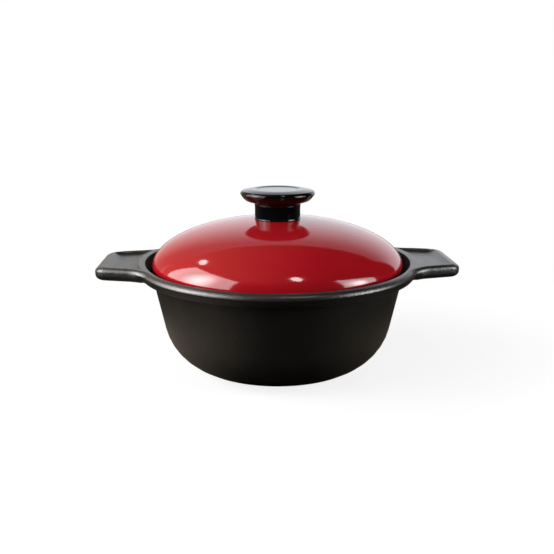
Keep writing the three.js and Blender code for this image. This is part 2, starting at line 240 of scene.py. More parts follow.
def rounded(corners, steps, closed=False):
    """Points along a run of (radius, height, round) corners, with each round drawn as a tangent arc."""
    points = []
    last = len(corners) - 1
    for i, (x, y, size) in enumerate(corners):
        here = np.array([x, y], float)
        if not size or (not closed and i in (0, last)):
            points.append(here)
            continue
        corner_before, corner_after = corners[i - 1], corners[(i + 1) % len(corners)]
        before = np.array(corner_before[:2]) - here
        after = np.array(corner_after[:2]) - here
        # Two rounds that are neighbours share the run between them
        room_before = np.linalg.norm(before) * (0.5 if corner_before[2] else 1)
        room_after = np.linalg.norm(after) * (0.5 if corner_after[2] else 1)
        before = before / np.linalg.norm(before)
        after = after / np.linalg.norm(after)
        half = math.acos(np.clip(before @ after, -1, 1)) / 2
        tangent = min(size / math.tan(half), room_before, room_after)
        radius = tangent * math.tan(half)
        middle = (before + after) / np.linalg.norm(before + after)
        centre = here + middle * radius / math.sin(half)
        start = here + before * tangent - centre
        side = np.sign(after[0] * before[1] - after[1] * before[0])
        for k in range(steps + 1):
            turn = side * (math.pi - 2 * half) * k / steps
            cos, sin = math.cos(turn), math.sin(turn)
            points.append(centre + [start[0] * cos - start[1] * sin, start[0] * sin + start[1] * cos])
    return points


def new_piece(name, points, faces, material, body, stands_for):
    """A smooth mesh piece, given in millimetres, that stands for a CAD node and rides on a body."""
    mesh = bpy.data.meshes.new(name)
    mesh.from_pydata([tuple(c * MM for c in p) for p in points], [], faces)
    form = bmesh.new()
    form.from_mesh(mesh)
    bmesh.ops.recalc_face_normals(form, faces=form.faces)
    form.to_mesh(mesh)
    form.free()
    mesh.polygons.foreach_set("use_smooth", [True] * len(mesh.polygons))
    mesh.set_sharp_from_angle(angle=SHARP_ANGLE)
    mesh.materials.append(material)
    piece = bpy.data.objects.new(name, mesh)
    bpy.context.scene.collection.objects.link(piece)
    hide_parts(stands_for)
    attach(piece, body)
    return piece


def turned(profile, columns, closed=False):
    """Points and faces of a surface turned about Z. An open profile starts and ends on the axis."""
    rings = profile if closed else profile[1:-1]
    turns = np.arange(columns) * 2 * math.pi / columns
    points = [(r * math.cos(t), r * math.sin(t), z) for r, z in rings for t in turns]
    faces = []
    count = len(rings)
    for j in range(count if closed else count - 1):
        for i in range(columns):
            k = (i + 1) % columns
            above = (j + 1) % count * columns
            faces.append((j * columns + i, j * columns + k, above + k, above + i))
    if not closed:
        points += [(0, 0, profile[0][1]), (0, 0, profile[-1][1])]
        top = (count - 1) * columns
        for i in range(columns):
            k = (i + 1) % columns
            faces.append((len(points) - 2, k, i))
            faces.append((len(points) - 1, top + i, top + k))
    return points, faces


# Materials
# Painted shade on the lid's seat fades out over this run, in millimetres, from this far inside the
# rim's inner edge
SEAT_SHADE_RUN = 1.0
SEAT_SHADE_INSIDE_RIM = 0.6


def seasoned_cast_iron():
    """Sand-cast iron, oiled and baked black: a dull skin with the sand's fine grain, and a grey sheen
    at a low angle where light skims over the baked oil."""
    material, tree = new_material("seasoned_cast_iron")
    place = add(tree, "TexCoord").outputs["Object"]
    # Sand grains are about 0.3 mm: drawn at 2 mm, because a pixel of the render is 0.75 mm
    grain_size = 2 * MM
    grain = add(tree, "TexNoise", {
        "Vector": place, "Scale": 1 / grain_size, "Detail": 3.0, "Roughness": 0.65})
    # Oil bakes on in patches about 18 mm across
    patch_size = 18 * MM
    patches = add(tree, "TexNoise", {"Vector": place, "Scale": 1 / patch_size, "Detail": 3.0})
    # Painted shade: the lid's seat, in the shaded gap round the lid, is darker, far rougher and less
    # glossy
    across = add(tree, "SeparateXYZ", {"Vector": place})
    plan = add(tree, "CombineXYZ", {"X": across.outputs["X"], "Y": across.outputs["Y"]})
    reach = add(tree, "VectorMath", {0: plan.outputs[0]}, operation="LENGTH")
    seat_shade_start = RIM_INNER - SEAT_SHADE_INSIDE_RIM
    beyond_seat = add(tree, "MapRange", {
        "Value": reach.outputs["Value"],
        "From Min": seat_shade_start * MM, "From Max": (seat_shade_start + SEAT_SHADE_RUN) * MM,
    }, interpolation_type="SMOOTHSTEP")
    below = add(tree, "MapRange", {
        "Value": across.outputs["Z"],
        "From Min": (LIP_Z - SEAT_SHADE_RUN) * MM, "From Max": LIP_Z * MM, "To Min": 1.0, "To Max": 0.0,
    }, interpolation_type="SMOOTHSTEP")
    baked = add(tree, "Mix", {
        "Factor": patches.outputs["Fac"], COLOUR_A: linear("#161412"), COLOUR_B: linear("#1c1a17"),
    }, data_type="RGBA")
    outside = add(tree, "Math", {
        0: beyond_seat.outputs["Result"], 1: below.outputs["Result"]}, operation="MAXIMUM")
    # Painted shade: the seat's near-black colour stands for the gap's shade; elsewhere the baked skin
    # shows
    colour = add(tree, "Mix", {
        "Factor": outside.outputs[0],
        COLOUR_A: linear("#0c0b0b"), COLOUR_B: baked.outputs[MIXED_COLOUR],
    }, data_type="RGBA")
    # The grain roughens the skin outside the seat a little, and the seat, painted as shade, is far
    # rougher
    dull = add(tree, "MapRange", {"Value": patches.outputs["Fac"], "To Min": 0.26, "To Max": 0.34})
    grain_roughness = 0.08
    rough = add(tree, "Math", {
        0: grain.outputs["Fac"], 1: grain_roughness, 2: dull.outputs["Result"],
    }, operation="MULTIPLY_ADD")
    seat_roughness = 0.9
    finish = add(tree, "Mix", {
        "Factor": outside.outputs[0], NUMBER_A: seat_roughness, NUMBER_B: rough.outputs[0],
    }, data_type="FLOAT")
    # Painted shade: the seat keeps only a fifth of the sheen, so that it looks dark
    seat_sheen, skin_sheen = 0.1, 0.5
    sheen = add(tree, "Mix", {
        "Factor": outside.outputs[0], NUMBER_A: seat_sheen, NUMBER_B: skin_sheen}, data_type="FLOAT")
    bump = add(tree, "Bump", {
        "Height": grain.outputs["Fac"], "Strength": 0.7, "Distance": 0.3 * MM})
    shader = add(tree, "BsdfPrincipled", {
        "Base Color": colour.outputs[MIXED_COLOUR], "Roughness": finish.outputs[0],
        "Normal": bump.outputs["Normal"], "IOR": 1.8, "Specular IOR Level": sheen.outputs[0]})
    add(tree, "OutputMaterial", {"Surface": shader.outputs[0]})
    return material


def red_vitreous_enamel():
    """Glass enamel fired on to cast iron: a deep clear red with a hard mirror gloss, and the slight
    waviness that the melt keeps from the casting under it."""
    material, tree = new_material("red_vitreous_enamel")
    place = add(tree, "TexCoord").outputs["Object"]
    # The coat is thicker, and so deeper in colour, in patches about 30 mm across
    patch_size = 30 * MM
    depth = add(tree, "TexNoise", {"Vector": place, "Scale": 1 / patch_size, "Detail": 2.0})
    colour = add(tree, "Mix", {
        "Factor": depth.outputs["Fac"], COLOUR_A: linear("#9e121c"), COLOUR_B: linear("#a6151e"),
    }, data_type="RGBA")
    # The melt's waves are about 6 mm long
    wave_length = 6 * MM
    waves = add(tree, "TexNoise", {"Vector": place, "Scale": 1 / wave_length, "Detail": 1.0})
    bump = add(tree, "Bump", {
        "Height": waves.outputs["Fac"], "Strength": 0.1, "Distance": 0.06 * MM})
    shader = add(tree, "BsdfPrincipled", {
        "Base Color": colour.outputs[MIXED_COLOUR], "Roughness": 0.09,
        "Normal": bump.outputs["Normal"], "IOR": 1.65})
    add(tree, "OutputMaterial", {"Surface": shader.outputs[0]})
    return material


def black_phenolic():
    """Phenolic resin moulded in a polished steel tool: jet black with a bright, slightly uneven gloss,
    which a trace of mould wax weakens where it is seen face on."""
    material, tree = new_material("black_phenolic")
    place = add(tree, "TexCoord").outputs["Object"]
    # Where the resin flowed together the gloss differs, in patches about 8 mm across
    patch_size = 8 * MM
    flow = add(tree, "TexNoise", {"Vector": place, "Scale": 1 / patch_size, "Detail": 3.0})
    rough = add(tree, "MapRange", {"Value": flow.outputs["Fac"], "To Min": 0.06, "To Max": 0.1})
    colour = add(tree, "Mix", {
        "Factor": flow.outputs["Fac"], COLOUR_A: linear("#060607"), COLOUR_B: linear("#0a0a0b"),
    }, data_type="RGBA")
    shader = add(tree, "BsdfPrincipled", {
        "Base Color": colour.outputs[MIXED_COLOUR], "Roughness": rough.outputs["Result"],
        "IOR": 1.46, "Specular Tint": linear("#d0d0d0")})
    add(tree, "OutputMaterial", {"Surface": shader.outputs[0]})
    return material


# A wave texture of scale 1 turns through this many radians in each unit
WAVE_RADIANS = 20
# How far a turned surface's roughness swings between a ring's crest and its groove
RING_ROUGHNESS_SWING = 0.06


def turned_metal(name, code, roughness, step):
    """Metal turned or stamped bright: soft rings round the axis from the tool. Real ones are about
    0.1 mm apart: here each radian of a ring's wave is step millimetres, coarse enough to show."""
    material, tree = new_material(name)
    place = add(tree, "TexCoord").outputs["Object"]
    rings = add(tree, "TexWave", {
        "Vector": place, "Scale": 1 / (step * WAVE_RADIANS * MM), "Distortion": 1.5, "Detail": 2.0,
    }, wave_type="RINGS", rings_direction="Z")
    rough = add(tree, "MapRange", {
        "Value": rings.outputs["Fac"],
        "To Min": roughness - RING_ROUGHNESS_SWING, "To Max": roughness + RING_ROUGHNESS_SWING})
    bump = add(tree, "Bump", {
        "Height": rings.outputs["Fac"], "Strength": 0.2, "Distance": 0.02 * MM})
    shader = add(tree, "BsdfPrincipled", {
        "Base Color": linear(code), "Metallic": 1.0, "Roughness": rough.outputs["Result"],
        "Normal": bump.outputs["Normal"]})
    add(tree, "OutputMaterial", {"Surface": shader.outputs[0]})
    return material


# Pot
def wall_radius(height):
    """Radius of the pot's outer wall, extended straight, at a height."""
    return WALL_TOP - math.tan(WALL_DRAFT) * (LIP_Z - height)


def inner_radius(height):
    """Radius of the pot's inner wall, extended straight, at a height."""
    return wall_radius(height) - WALL_THICKNESS / math.cos(WALL_DRAFT)


def handle_centres():
    """Centres of the handle's end corner round and of the hollow round at its root."""
    corner_x = HANDLE_REACH - HANDLE_CORNER_RADIUS
    corner_y = (SIDE_REACH - HANDLE_CORNER_RADIUS - SIDE_NORMAL[0] * corner_x) / SIDE_NORMAL[1]
    along = np.array([SIDE_NORMAL[1], -SIDE_NORMAL[0]])
    reach = SIDE_REACH + HANDLE_ROOT_RADIUS
    run = math.sqrt((RIM_RADIUS + HANDLE_ROOT_RADIUS) ** 2 - reach ** 2)
    return np.array([corner_x, corner_y]), SIDE_NORMAL * reach + along * run


CORNER, ROOT = handle_centres()
# Angles between which the softer roll of the handle's tip fades into its sides
TIP_START = math.atan2(CORNER[1], HANDLE_REACH)
TIP_END = math.atan2((CORNER + SIDE_NORMAL * HANDLE_CORNER_RADIUS)[1], CORNER[0])


def outline_radius(turn, inset):
    """Distance from the axis to the rim's and handles' outline, set in by a distance, at an angle
    between 0 and 90 degrees from the handles' line."""
    ray = np.array([math.cos(turn), math.sin(turn)])
    corner_round = HANDLE_CORNER_RADIUS - inset
    root_round = HANDLE_ROOT_RADIUS + inset
    corner_end = CORNER + SIDE_NORMAL * corner_round
    side_end = ROOT - SIDE_NORMAL * root_round
    if turn <= math.atan2(CORNER[1], HANDLE_REACH - inset):
        return (HANDLE_REACH - inset) / ray[0]
    if turn <= math.atan2(corner_end[1], corner_end[0]):
        along = ray @ CORNER
        return along + math.sqrt(along ** 2 - CORNER @ CORNER + corner_round ** 2)
    if turn <= math.atan2(side_end[1], side_end[0]):
        return (SIDE_REACH - inset) / (ray @ SIDE_NORMAL)
    if turn <= math.atan2(ROOT[1], ROOT[0]):
        along = ray @ ROOT
        return along - math.sqrt(max(along ** 2 - ROOT @ ROOT + root_round ** 2, 0))
    return RIM_RADIUS - inset


def panel_depth(x, y):
    """How far the handle's hollowed panel lies below the handle's top at a place."""
    x, y = abs(x), abs(y)
    to_side = SIDE_REACH - PANEL_MARGIN - SIDE_NORMAL @ [x, y]
    to_end = HANDLE_REACH - PANEL_END_MARGIN - x
    to_rim = math.hypot(x, y) - (RIM_RADIUS - PANEL_RIM_BITE)
    depth = PANEL_DEPTH
    for inside, run, power in ((to_side, PANEL_SIDE_RUN, PANEL_SIDE_POWER),
                               (to_end, PANEL_END_RUN, PANEL_END_POWER),
                               (to_rim, PANEL_RIM_RUN, PANEL_END_POWER)):
        left = 1 - min(max(inside / run, 0), 1)
        depth *= (1 - left ** power) * eased(inside / PANEL_CREST_RUN)
    return depth


def top_height(x):
    """Height of the rim's and the handles' top, which rises a little towards the handles."""
    return POT_HEIGHT + HANDLE_RISE * eased((abs(x) - HANDLE_RISE_START) / HANDLE_RISE_RUN)


def pot_columns():
    """Angles of the pot's columns all the way round."""
    quarter = np.concatenate([np.arange(*run) for run in POT_COLUMN_RUNS])
    half = np.concatenate([quarter, [90], 180 - quarter[:0:-1]])
    return np.radians(np.concatenate([half, half + 180]))


def pot_section(turn):
    """The pot's section at an angle, from under the base, up the outside, over the rim or handle and
    down the inside."""
    folded = math.asin(min(abs(math.sin(turn)), 1))
    cos, sin = math.cos(turn), math.sin(turn)
    handle = eased((outline_radius(folded, 0) - RIM_RADIUS) / HANDLE_ROOT_BLEND)
    edge_round = RIM_OUTER_ROUND + (HANDLE_EDGE_ROUND - RIM_OUTER_ROUND) * handle
    edge_in = outline_radius(folded, HANDLE_LOWER_ROUND)
    tip = eased((TIP_END - folded) / (TIP_END - TIP_START))
    roll = edge_round + (HANDLE_TIP_RUN - edge_round) * tip
    outside = rounded([
        (0, 0, 0), (wall_radius(0), 0, HEEL_RADIUS), (WALL_TOP, LIP_Z, COVE_RADIUS),
        (LIP_RADIUS, LIP_Z, LIP_LOWER_ROUND), (RIM_RADIUS, POT_HEIGHT - RIM_OUTER_ROUND, 0),
    ], POT_ARC_STEPS)[1:]
    face_high = outside.pop()
    face_low = outside[-1]
    face = face_high - face_low
    run = [np.array([r, z + handle * (min(z, HANDLE_LOW) - z)]) for r, z in outside]
    # The lip's upright face, which turns into the handle's flat underside and its lower edge
    for k in range(1, FACE_STEPS + 1):
        share = k / FACE_STEPS
        lip = face_low + face * LIP_UNDERSIDE_SHARE * share
        flat = np.array([face_low[0] + (edge_in - face_low[0]) * share, HANDLE_LOW])
        run.append(lip + (flat - lip) * handle)
    for k in range(1, FACE_STEPS + 1):
        share = k / FACE_STEPS
        swing = share * math.pi / 2
        lip = face_low + face * (LIP_UNDERSIDE_SHARE + LIP_EDGE_SHARE * share)
        edge = np.array([outline_radius(folded, HANDLE_LOWER_ROUND * (1 - math.sin(swing))),
                         HANDLE_LOW + HANDLE_LOWER_ROUND * (1 - math.cos(swing))])
        run.append(lip + (edge - lip) * handle)
    # The rolled upper edge, the top with the handle's panel, and the seat, wall and floor inside
    for k in range(EDGE_STEPS + 1):
        swing = k / EDGE_STEPS * math.pi / 2
        r = outline_radius(folded, roll * (1 - math.cos(swing)))
        run.append(np.array([r, top_height(r * cos) - edge_round * (1 - math.sin(swing))]))
    top_out, top_in = outline_radius(folded, roll), RIM_INNER + RIM_INNER_ROUND
    for k in range(1, TOP_STEPS):
        r = top_out + (top_in - top_out) * k / TOP_STEPS
        run.append(np.array([r, top_height(r * cos) - panel_depth(r * cos, r * sin)]))
    inner_top = top_height(RIM_INNER * cos)
    run += rounded([
        (RIM_RADIUS, inner_top, 0), (RIM_INNER, inner_top, RIM_INNER_ROUND),
        (RIM_INNER - SEAT_FLARE, LEDGE_Z, SEAT_ROUND), (inner_radius(LEDGE_Z), LEDGE_Z, LEDGE_ROUND),
        (inner_radius(FLOOR_THICKNESS), FLOOR_THICKNESS, HEEL_RADIUS - WALL_THICKNESS),
        (0, FLOOR_THICKNESS, 0)], INSIDE_ARC_STEPS)[1:-1]
    return [(r * cos, r * sin, z) for r, z in run]


def make_pot(material):
    """The pot with its handles, as one skin over all its sections."""
    sections = [pot_section(turn) for turn in pot_columns()]
    count = len(sections[0])
    points = [p for section in sections for p in section]
    points += [(0, 0, 0), (0, 0, FLOOR_THICKNESS)]
    under, floor = len(points) - 2, len(points) - 1
    faces = []
    for i in range(len(sections)):
        here, there = i * count, (i + 1) % len(sections) * count
        for j in range(count - 1):
            faces.append((here + j, there + j, there + j + 1, here + j + 1))
        faces.append((under, there, here))
        faces.append((floor, here + count - 1, there + count - 1))
    new_piece("casserole_pot", points, faces, material, "pot", "pot")


# Lid
def dome_point(share):
    """A point on the dome's outer curve and the curve's direction there, from the axis to the edge."""
    crown = np.array([0, LID_FOOT + LID_RISE])
    crown_pull = np.array([LID_CROWN_REACH, LID_FOOT + LID_RISE])
    edge = np.array([LID_RADIUS, LID_FOOT])
    up_the_edge = np.array([-math.cos(LID_EDGE_SLOPE), math.sin(LID_EDGE_SLOPE)])
    edge_pull = edge + LID_SHOULDER_REACH * up_the_edge
    rest = 1 - share
    on = (rest ** 3 * crown + 3 * rest ** 2 * share * crown_pull
          + 3 * rest * share ** 2 * edge_pull + share ** 3 * edge)
    along = (rest ** 2 * (crown_pull - crown) + 2 * rest * share * (edge_pull - crown_pull)
             + share ** 2 * (edge - edge_pull))
    return on, along / np.linalg.norm(along)


def make_lid(material):
    """The dome, with a level pad for the knob and a thickened edge that rests on the pot's ledge."""
    shares = np.linspace(0, 1, DOME_SAMPLES)
    pad_share = np.interp(LID_PAD_RADIUS, [dome_point(s)[0][0] for s in shares], shares)
    outside, inside = [], []
    for share in np.linspace(pad_share, 1, DOME_STEPS + 1):
        on, along = dome_point(share)
        inwards = np.array([along[1], -along[0]])
        outside.append((*on, 0))
        inside.append((*(on + LID_THICKNESS * inwards), 0))
    pad = outside[0][1]
    ceiling = pad - LID_THICKNESS
    edge = LID_RADIUS + LID_EDGE_DROP / math.tan(LID_EDGE_SLOPE)
    inner_edge = LID_RADIUS - LID_EDGE_WIDTH
    # The inside, which hardly shows, takes every second point
    profile = rounded([
        (LID_BORE_RADIUS, pad, 0), *outside, (edge, LID_FOOT - LID_EDGE_DROP, LID_EDGE_ROUND),
        (edge - LID_EDGE_TAPER, LID_LOW, LID_REST_ROUND), (inner_edge, LID_LOW, LID_REST_ROUND),
        *[p for p in inside[::-2] if p[0] < inner_edge and p[1] < ceiling],
        (LID_BORE_RADIUS, ceiling, 0)], LID_ARC_STEPS, True)
    points, faces = turned(profile, LID_COLUMNS, True)
    new_piece("enamelled_lid", points, faces, material, "lid", "lid")


# Knob
def bend(start, middle, end):
    """Corners without a round along a quadratic curve."""
    start, middle, end = np.array(start), np.array(middle), np.array(end)
    shares = np.linspace(0, 1, KNOB_CURVE_STEPS + 1)
    curve = [(1 - s) ** 2 * start + 2 * (1 - s) * s * middle + s ** 2 * end for s in shares]
    return [(*on, 0) for on in curve]


def make_knob(material):
    """The knob: a dished head over a waisted stem, with a hollow foot round the boss for the bush."""
    edge = KNOB_HEIGHT - KNOB_EDGE_DROP
    run = KNOB_EDGE_ROUND * math.tan((math.pi / 2 - KNOB_EDGE_SLOPE) / 2)
    underside = bend((KNOB_STEM_RADIUS + KNOB_STEM_FILLET, KNOB_UNDERSIDE_HEIGHT),
                     (KNOB_BELLY_RADIUS, KNOB_UNDERSIDE_HEIGHT), (KNOB_RADIUS, edge - run))
    top = bend((KNOB_RADIUS - run * math.cos(KNOB_EDGE_SLOPE), edge + run * math.sin(KNOB_EDGE_SLOPE)),
               (KNOB_RADIUS - KNOB_EDGE_DROP / math.tan(KNOB_EDGE_SLOPE), KNOB_HEIGHT),
               (KNOB_CREST_RADIUS, KNOB_HEIGHT))
    dish = KNOB_HEIGHT - KNOB_DISH_DEPTH
    profile = rounded([
        (0, KNOB_BUSH_SEAT_DEPTH, 0), (KNOB_BUSH_SEAT_RADIUS, KNOB_BUSH_SEAT_DEPTH, 0),
        (KNOB_BUSH_SEAT_RADIUS, 0, 0), (KNOB_BOSS_RADIUS, 0, KNOB_CORE_ROUND),
        (KNOB_BOSS_RADIUS, KNOB_CORE_DEPTH, KNOB_CORE_ROUND),
        (KNOB_CORE_RADIUS, KNOB_CORE_DEPTH, KNOB_CORE_ROUND),
        (KNOB_CORE_RADIUS, 0, KNOB_CORE_ROUND), (KNOB_FOOT_RADIUS, 0, KNOB_FOOT_ROUND),
        (KNOB_FLARE_RADIUS, KNOB_FLARE_HEIGHT, KNOB_FLARE_ROUND),
        (KNOB_WAIST_RADIUS, KNOB_WAIST_HEIGHT, KNOB_WAIST_ROUND),
        (KNOB_STEM_RADIUS, KNOB_UNDERSIDE_HEIGHT, KNOB_STEM_FILLET), *underside,
        (KNOB_RADIUS, edge, KNOB_EDGE_ROUND), *top[:-1],
        (KNOB_CREST_RADIUS, KNOB_HEIGHT, KNOB_CREST_ROUND),
        (KNOB_DISH_RADIUS, dish, KNOB_DISH_ROUND), (0, dish, 0)], KNOB_ARC_STEPS)
    points, faces = turned([(r, z + KNOB_FOOT) for r, z in profile], KNOB_COLUMNS)
    new_piece("moulded_knob", points, faces, material, "lid", "knob")


# Screw, washers and bush under the knob, each as high and as wide as its solid
def extent(node):
    """A turned piece's outer radius, lowest height and highest height."""
    low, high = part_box(node)
    return high.y / MM, low.z / MM, high.z / MM


def make_bush(material):
    """The threaded bush, with a groove that keys it into the knob."""
    radius, low, high = extent("knob_bush")
    groove_low = (low + high - BUSH_GROOVE_WIDTH) / 2
    groove_high = groove_low + BUSH_GROOVE_WIDTH
    groove = radius - BUSH_GROOVE_DEPTH
    profile = rounded([
        (BUSH_BORE, low, SMALL_ROUND), (radius, low, SMALL_ROUND), (radius, groove_low, SMALL_ROUND),
        (groove, groove_low, SMALL_ROUND), (groove, groove_high, SMALL_ROUND),
        (radius, groove_high, SMALL_ROUND), (radius, high, SMALL_ROUND),
        (BUSH_BORE, high, SMALL_ROUND)], SMALL_ARC_STEPS, True)
    points, faces = turned(profile, SMALL_COLUMNS, True)
    new_piece("threaded_bush", points, faces, material, "lid", "knob_bush")


def washer_section(node):
    """A washer's section with softened edges."""
    radius, low, high = extent(node)
    return rounded([
        (WASHER_BORE, low, SMALL_ROUND), (radius, low, SMALL_ROUND),
        (radius, high, SMALL_ROUND), (WASHER_BORE, high, SMALL_ROUND)], SMALL_ARC_STEPS, True)


def make_flat_washer(material):
    """The washer that bears on the enamel."""
    points, faces = turned(washer_section("flat_washer"), WASHER_COLUMNS, True)
    new_piece("stamped_washer", points, faces, material, "lid", "flat_washer")


def make_spring_washer(material):
    """A split ring, pressed flat by the screw."""
    section = washer_section("spring_washer")
    half = SPRING_WASHER_SPLIT / 2
    turns = np.linspace(half, 2 * math.pi - half, SPLIT_WASHER_COLUMNS + 1)
    count = len(section)
    points = [(r * math.cos(t), r * math.sin(t), z) for t in turns for r, z in section]
    faces = [tuple(range(count)), tuple(range(len(points) - count, len(points)))]
    for i in range(SPLIT_WASHER_COLUMNS):
        for j in range(count):
            k = (j + 1) % count
            faces.append((i * count + j, i * count + k, (i + 1) * count + k, (i + 1) * count + j))
    new_piece("split_washer", points, faces, material, "lid", "spring_washer")


def cut_away(piece, cutter):
    """Takes a cutter's mesh out of a piece."""
    tool = bpy.data.objects.new("cutter", cutter)
    bpy.context.scene.collection.objects.link(tool)
    change = piece.modifiers.new("cut", "BOOLEAN")
    change.object = tool
    change.operation = "DIFFERENCE"
    result = bpy.data.meshes.new_from_object(piece.evaluated_get(bpy.context.evaluated_depsgraph_get()))
    piece.modifiers.clear()
    piece.data = result
    bpy.data.objects.remove(tool)


def make_screw(material):
    """A pan head screw with a cross recess, driven upwards through the lid."""
    radius, low, tip = extent("knob_screw")
    head = low + SCREW_HEAD_HEIGHT
    profile = rounded([
        (0, low, 0), (radius, low, SCREW_HEAD_ROUND), (radius, head, SMALL_ROUND),
        (SCREW_RADIUS, head, 0), (SCREW_RADIUS, tip - SCREW_TIP_CHAMFER, 0),
        (SCREW_RADIUS - SCREW_TIP_CHAMFER, tip, 0), (0, tip, 0)], SCREW_ARC_STEPS)
    points, faces = turned(profile, SMALL_COLUMNS)
    screw = new_piece("pan_head_screw", points, faces, material, "lid", "knob_screw")
    for turn in (0, math.pi / 2):
        size = Matrix.Diagonal((DRIVE_LENGTH * MM, DRIVE_WIDTH * MM, 2 * DRIVE_DEPTH * MM, 1))
        slot = bmesh.new()
        bmesh.ops.create_cube(slot, size=1, matrix=Matrix.Rotation(turn, 4, "Z") @ size)
        cutter = bpy.data.meshes.new("drive_slot")
        slot.to_mesh(cutter)
        slot.free()
        cutter.transform(Matrix.Translation((0, 0, low * MM)))
        cut_away(screw, cutter)
    screw.data.set_sharp_from_angle(angle=SHARP_ANGLE)


make_pot(seasoned_cast_iron())
make_lid(red_vitreous_enamel())
make_knob(black_phenolic())
make_bush(turned_metal("turned_brass", "#b08d45", roughness=0.3, step=0.5))
make_screw(turned_metal("bright_stainless_steel", "#c4c5c7", roughness=0.25, step=0.5))
make_spring_washer(turned_metal("plain_spring_steel", "#8f9094", roughness=0.35, step=0.8))
make_flat_washer(turned_metal("stamped_stainless_steel", "#b9babb", roughness=0.3, step=1.0))


# Studio, in metres
# A direction is degrees round to the right from straight behind the pot, and degrees up from the aim
AIM = Vector((0, 0, 0.09))
FLOOR_RADIUS = 4.0
FLOOR_SIDES = 96
TABLE_HALF = 2.6
TABLE_FRONT = -1.6
TABLE_BACK = 1.4
TABLE_LIFT = 0.0005
ROOM_RADIUS = 3.0
ROOM_COLUMNS = 144
ROOM_ROWS = 24
# The room's lower edge beside the backdrop, in degrees up
ROOM_LOW = -1.0
# The backdrop's distance behind the pot, its half width and its height above the aim
BACKDROP_AWAY = 1.5
BACKDROP_HALF = 2.0
BACKDROP_HIGH = 1.67
WORLD_FILL = 0.03


def direction(turn, rise):
    """The unit vector that points that way from the aim."""
    t, r = math.radians(turn), math.radians(rise)
    return Vector((math.sin(t) * math.cos(r), math.cos(t) * math.cos(r), math.sin(r)))


def area_lamp(name, shape, width, height, level, place, way):
    """An area lamp that faces back along a way; level is how bright its face is, where 1 is white."""
    lamp = bpy.data.lights.new(name, "AREA")
    lamp.shape = shape
    lamp.size = width
    lamp.size_y = height
    area = width * height * (math.pi / 4 if shape == "ELLIPSE" else 1)
    lamp.energy = level * math.pi * area
    panel = bpy.data.objects.new(name, lamp)
    facing = way.to_track_quat("Z", "Y").to_matrix().to_4x4()
    panel.matrix_world = Matrix.Translation(place) @ facing
    panel.visible_camera = False
    bpy.context.scene.collection.objects.link(panel)
    return lamp


def round_lamp(name, turn, rise, distance, width, height, level):
    """A small round lamp with a diffuser, turned to the pot."""
    way = direction(turn, rise)
    area_lamp(name, "ELLIPSE", width, height, level, AIM + way * distance, way)


def upright_window(name, turn, away, side, high, width, height, level, core, core_reach, core_level):
    """An upright window with thin curtains, in a plane that is away metres from the pot. Side and high
    place its middle in that plane. It is core_level times as bright at its core, which lies at a share
    of its width and height and fades out over core_reach metres."""
    way = direction(turn, 0)
    place = AIM + way * away + direction(turn + 90, 0) * side + Vector((0, 0, high))
    lamp = area_lamp(name, "RECTANGLE", width, height, level, place, way)
    lamp.use_nodes = True
    tree = lamp.node_tree
    tree.nodes.clear()
    across = add(tree, "NewGeometry").outputs["Parametric"]
    off = add(tree, "VectorMath", {0: across, 1: (*core, 0)}, operation="SUBTRACT")
    scale = (width / core_reach[0], height / core_reach[1], 0)
    scaled = add(tree, "VectorMath", {0: off.outputs[0], 1: scale}, operation="MULTIPLY")
    reach = add(tree, "VectorMath", {0: scaled.outputs[0]}, operation="LENGTH")
    glow = add(tree, "MapRange", {
        "Value": reach.outputs["Value"], "To Min": core_level, "To Max": 1.0,
    }, interpolation_type="SMOOTHSTEP")
    shader = add(tree, "Emission", {"Strength": glow.outputs["Result"]})
    add(tree, "OutputLight", {"Surface": shader.outputs[0]})


upright_window("left_window", turn=-100, away=1.0, side=-0.07, high=0.59, width=1.38, height=1.12,
               level=4.2, core=(0.5, 0.36), core_reach=(0.38, 0.8), core_level=3.3)
upright_window("right_window", turn=158, away=0.5, side=-0.77, high=0.19, width=0.96, height=0.44,
               level=3.8, core=(0.28, 0.4), core_reach=(0.3, 0.22), core_level=3.7)
round_lamp("left_lamp", turn=-55.9, rise=49, distance=1.24, width=0.2, height=0.105, level=8.6)
round_lamp("front_lamp", turn=159, rise=57, distance=1.01, width=0.13, height=0.26, level=10.0)


def stage_piece(name, points, faces, material):
    """A piece of the studio, which isn't part of the object."""
    mesh = bpy.data.meshes.new(name)
    mesh.from_pydata(points, [], faces)
    mesh.materials.append(material)
    piece = bpy.data.objects.new(name, mesh)
    bpy.context.scene.collection.objects.link(piece)
    return piece


def only_reflect(piece):
    """Leaves a piece of the studio to the reflections, where it shapes what the gloss shows."""
    piece.visible_camera = False
    piece.visible_diffuse = False
    piece.visible_transmission = False
    piece.visible_shadow = False


def seen_directly(tree):
    """1 for what the camera sees straight, in a mirror or through glass, else 0."""
    path = add(tree, "LightPath")
    either = add(tree, "Math", {
        0: path.outputs["Is Camera Ray"], 1: path.outputs["Is Glossy Ray"]}, operation="MAXIMUM")
    return add(tree, "Math", {
        0: either.outputs[0], 1: path.outputs["Is Transmission Ray"]}, operation="MAXIMUM").outputs[0]


